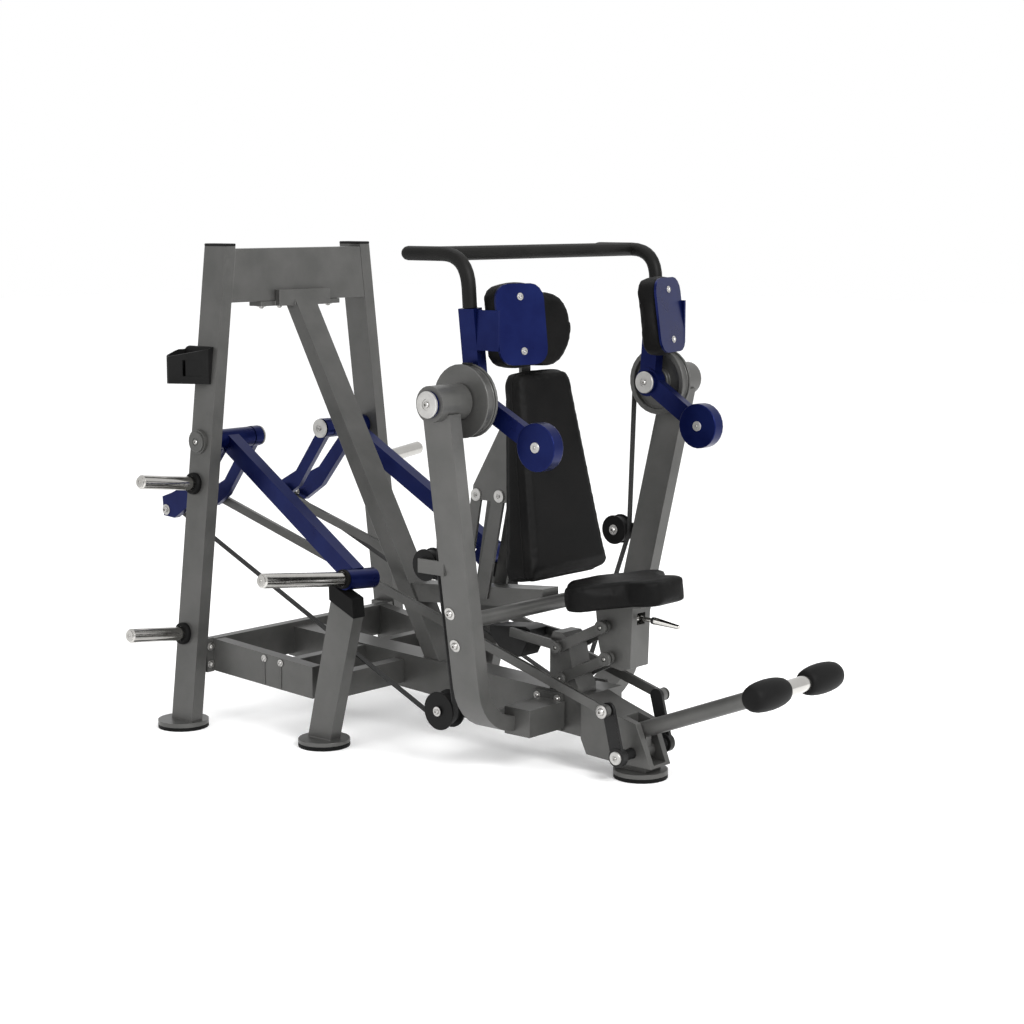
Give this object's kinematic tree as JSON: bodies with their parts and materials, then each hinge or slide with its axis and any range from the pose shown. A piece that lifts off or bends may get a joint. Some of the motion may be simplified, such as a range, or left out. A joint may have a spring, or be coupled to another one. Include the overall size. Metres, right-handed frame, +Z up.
{
  "type": "plate-loaded pullover machine",
  "caption": "Seated plate-loaded pullover machine with swinging elbow pads, belt-driven weight arms, foot assist bar and lift seat on a grey steel frame.",
  "frame": {"origin": "on the floor under the centre of the whole machine's box at rest", "axes": "+Z up; -Y is the way the seated user faces; -X is the user's right; x = 0 is the middle plane"},
  "size_m": [1.5246, 2.515, 1.657],
  "materials": {
    "frame_paint": "satin metallic grey powder coat",
    "blue_paint": "gloss metallic dark blue",
    "upholstery": "fine-grained black vinyl over foam",
    "rubber": "matt black moulded rubber",
    "grip_rubber": "ribbed black grip sleeve over steel tube",
    "chrome_steel": "polished chrome plate",
    "black_metal": "satin black powder coat",
    "black_plastic": "fine moulded texture",
    "belt_fabric": "woven black webbing"
  },
  "bodies": {
    "base": {"right_rear_post": "frame_paint", "left_rear_post": "frame_paint", "rear_top_beam": "frame_paint", "slant_beam": "frame_paint", "base_frame": "frame_paint", "right_mid_post": "frame_paint", "left_mid_post": "frame_paint", "right_bumper": "rubber", "left_bumper": "rubber", "front_housing": "frame_paint", "right_rear_foot": "rubber", "left_rear_foot": "rubber", "right_mid_foot": "rubber", "left_mid_foot": "rubber", "front_foot": "rubber", "right_upright": "frame_paint", "left_upright": "frame_paint", "cross_tube": "frame_paint", "seat_support": "frame_paint", "backrest_pad": "upholstery", "headrest_pad": "upholstery", "bottle_holder": "black_plastic", "right_upper_storage_peg": "chrome_steel", "left_upper_storage_peg": "chrome_steel", "right_lower_storage_peg": "chrome_steel", "left_lower_storage_peg": "chrome_steel", "right_belt": "belt_fabric", "left_belt": "belt_fabric"},
    "press_arms": {"right_press_arm": "blue_paint", "left_press_arm": "blue_paint", "right_elbow_pad": "upholstery", "left_elbow_pad": "upholstery", "right_cam": "frame_paint", "left_cam": "frame_paint", "right_counterweight": "blue_paint", "left_counterweight": "blue_paint", "top_bar": "grip_rubber"},
    "right_weight_arm": {"right_weight_arm": "blue_paint", "right_weight_peg": "chrome_steel"},
    "left_weight_arm": {"left_weight_arm": "blue_paint", "left_weight_peg": "chrome_steel"},
    "right_lower_roller": {"right_lower_roller": "black_plastic"},
    "left_lower_roller": {"left_lower_roller": "black_plastic"},
    "right_guide_roller": {"right_guide_roller": "black_plastic"},
    "left_guide_roller": {"left_guide_roller": "black_plastic"},
    "foot_bar": {"foot_bar_arm": "frame_paint", "foot_shaft": "black_metal", "foot_cross_bar": "chrome_steel", "right_foot_pad": "rubber", "left_foot_pad": "rubber"},
    "right_push_rod": {"right_push_rod": "frame_paint"},
    "left_push_rod": {"left_push_rod": "frame_paint"},
    "right_assist_lever": {"right_assist_lever": "blue_paint"},
    "left_assist_lever": {"left_assist_lever": "blue_paint"},
    "seat_lower_link": {"seat_lower_link": "frame_paint"},
    "seat_upper_link": {"seat_upper_link": "frame_paint", "seat_balance_weight": "black_metal"},
    "seat_carriage": {"seat_carriage": "frame_paint", "seat_pad": "upholstery"},
    "seat_release_lever": {"seat_release_lever": "chrome_steel"}
  },
  "joints": [
    {"name": "press_arms", "type": "hinge", "parent": "base", "child": "press_arms", "pos_m": [0, -0.3455, 1.201], "axis": [1, 0, 0], "range_deg": [0, 110], "deforming": ["right_belt", "left_belt"]},
    {"name": "right_weight_arm", "type": "hinge", "parent": "base", "child": "right_weight_arm", "pos_m": [-0.283, 0.9405, 0.979], "axis": [1, 0, 0], "range_deg": [-33.91, 0]},
    {"name": "right_lower_roller", "type": "hinge", "parent": "base", "child": "right_lower_roller", "pos_m": [-0.322, -0.1055, 0.189], "axis": [1, 0, 0], "range_deg": [-243.44, 0]},
    {"name": "right_guide_roller", "type": "hinge", "parent": "base", "child": "right_guide_roller", "pos_m": [-0.469, -0.1805, 0.686], "axis": [1, 0, 0], "range_deg": [-248.72, 0]},
    {"name": "left_weight_arm", "type": "hinge", "parent": "base", "child": "left_weight_arm", "pos_m": [0.283, 0.9405, 0.979], "axis": [1, 0, 0], "range_deg": [-33.91, 0]},
    {"name": "left_lower_roller", "type": "hinge", "parent": "base", "child": "left_lower_roller", "pos_m": [0.322, -0.1055, 0.189], "axis": [1, 0, 0], "range_deg": [-243.44, 0]},
    {"name": "left_guide_roller", "type": "hinge", "parent": "base", "child": "left_guide_roller", "pos_m": [0.469, -0.1805, 0.686], "axis": [1, 0, 0], "range_deg": [-248.72, 0]},
    {"name": "foot_bar", "type": "hinge", "parent": "base", "child": "foot_bar", "pos_m": [0, -0.6515, 0.087], "axis": [1, 0, 0], "range_deg": [0, 22], "stiffness_Nm_per_rad": 150, "springref_deg": -40.11},
    {"name": "right_push_rod", "type": "hinge", "parent": "foot_bar", "child": "right_push_rod", "pos_m": [-0.144, -0.6145, 0.233], "axis": [1, 0, 0], "range_deg": [-23.25, 0]},
    {"name": "right_assist_lever", "type": "hinge", "parent": "base", "child": "right_assist_lever", "pos_m": [-0.173, 0.9405, 0.979], "axis": [1, 0, 0], "range_deg": [-10.25, 0]},
    {"name": "left_push_rod", "type": "hinge", "parent": "foot_bar", "child": "left_push_rod", "pos_m": [0.144, -0.6145, 0.233], "axis": [1, 0, 0], "range_deg": [-23.25, 0]},
    {"name": "left_assist_lever", "type": "hinge", "parent": "base", "child": "left_assist_lever", "pos_m": [0.173, 0.9405, 0.979], "axis": [1, 0, 0], "range_deg": [-10.25, 0]},
    {"name": "seat_lower_link", "type": "hinge", "parent": "base", "child": "seat_lower_link", "pos_m": [0, -0.3815, 0.29], "axis": [1, 0, 0], "range_deg": [-15, 9]},
    {"name": "seat_upper_link", "type": "hinge", "parent": "base", "child": "seat_upper_link", "pos_m": [0, -0.3645, 0.388], "axis": [1, 0, 0], "range_deg": [-15.01, 9.01]},
    {"name": "seat_carriage", "type": "hinge", "parent": "seat_lower_link", "child": "seat_carriage", "pos_m": [0, -0.5615, 0.378], "axis": [1, 0, 0], "range_deg": [-9.01, 15.01]},
    {"name": "seat_release_lever", "type": "hinge", "parent": "seat_carriage", "child": "seat_release_lever", "pos_m": [0, -0.6305, 0.506], "axis": [1, 0, 0], "range_deg": [-15, 0], "stiffness_Nm_per_rad": 1.5, "springref_deg": 11.46}
  ],
  "couplings": [
    {"joint": "right_weight_arm", "follows": "press_arms", "ratio": -0.3082},
    {"joint": "right_lower_roller", "follows": "press_arms", "ratio": -2.213},
    {"joint": "right_guide_roller", "follows": "press_arms", "ratio": -2.261},
    {"joint": "right_push_rod", "follows": "foot_bar", "ratio": -1.0565},
    {"joint": "right_assist_lever", "follows": "foot_bar", "ratio": -0.4656},
    {"joint": "left_weight_arm", "follows": "press_arms", "ratio": -0.3082},
    {"joint": "left_lower_roller", "follows": "press_arms", "ratio": -2.213},
    {"joint": "left_guide_roller", "follows": "press_arms", "ratio": -2.261},
    {"joint": "left_push_rod", "follows": "foot_bar", "ratio": -1.0565},
    {"joint": "left_assist_lever", "follows": "foot_bar", "ratio": -0.4656},
    {"joint": "seat_upper_link", "follows": "seat_lower_link", "ratio": 1},
    {"joint": "seat_carriage", "follows": "seat_lower_link", "ratio": -1}
  ]
}
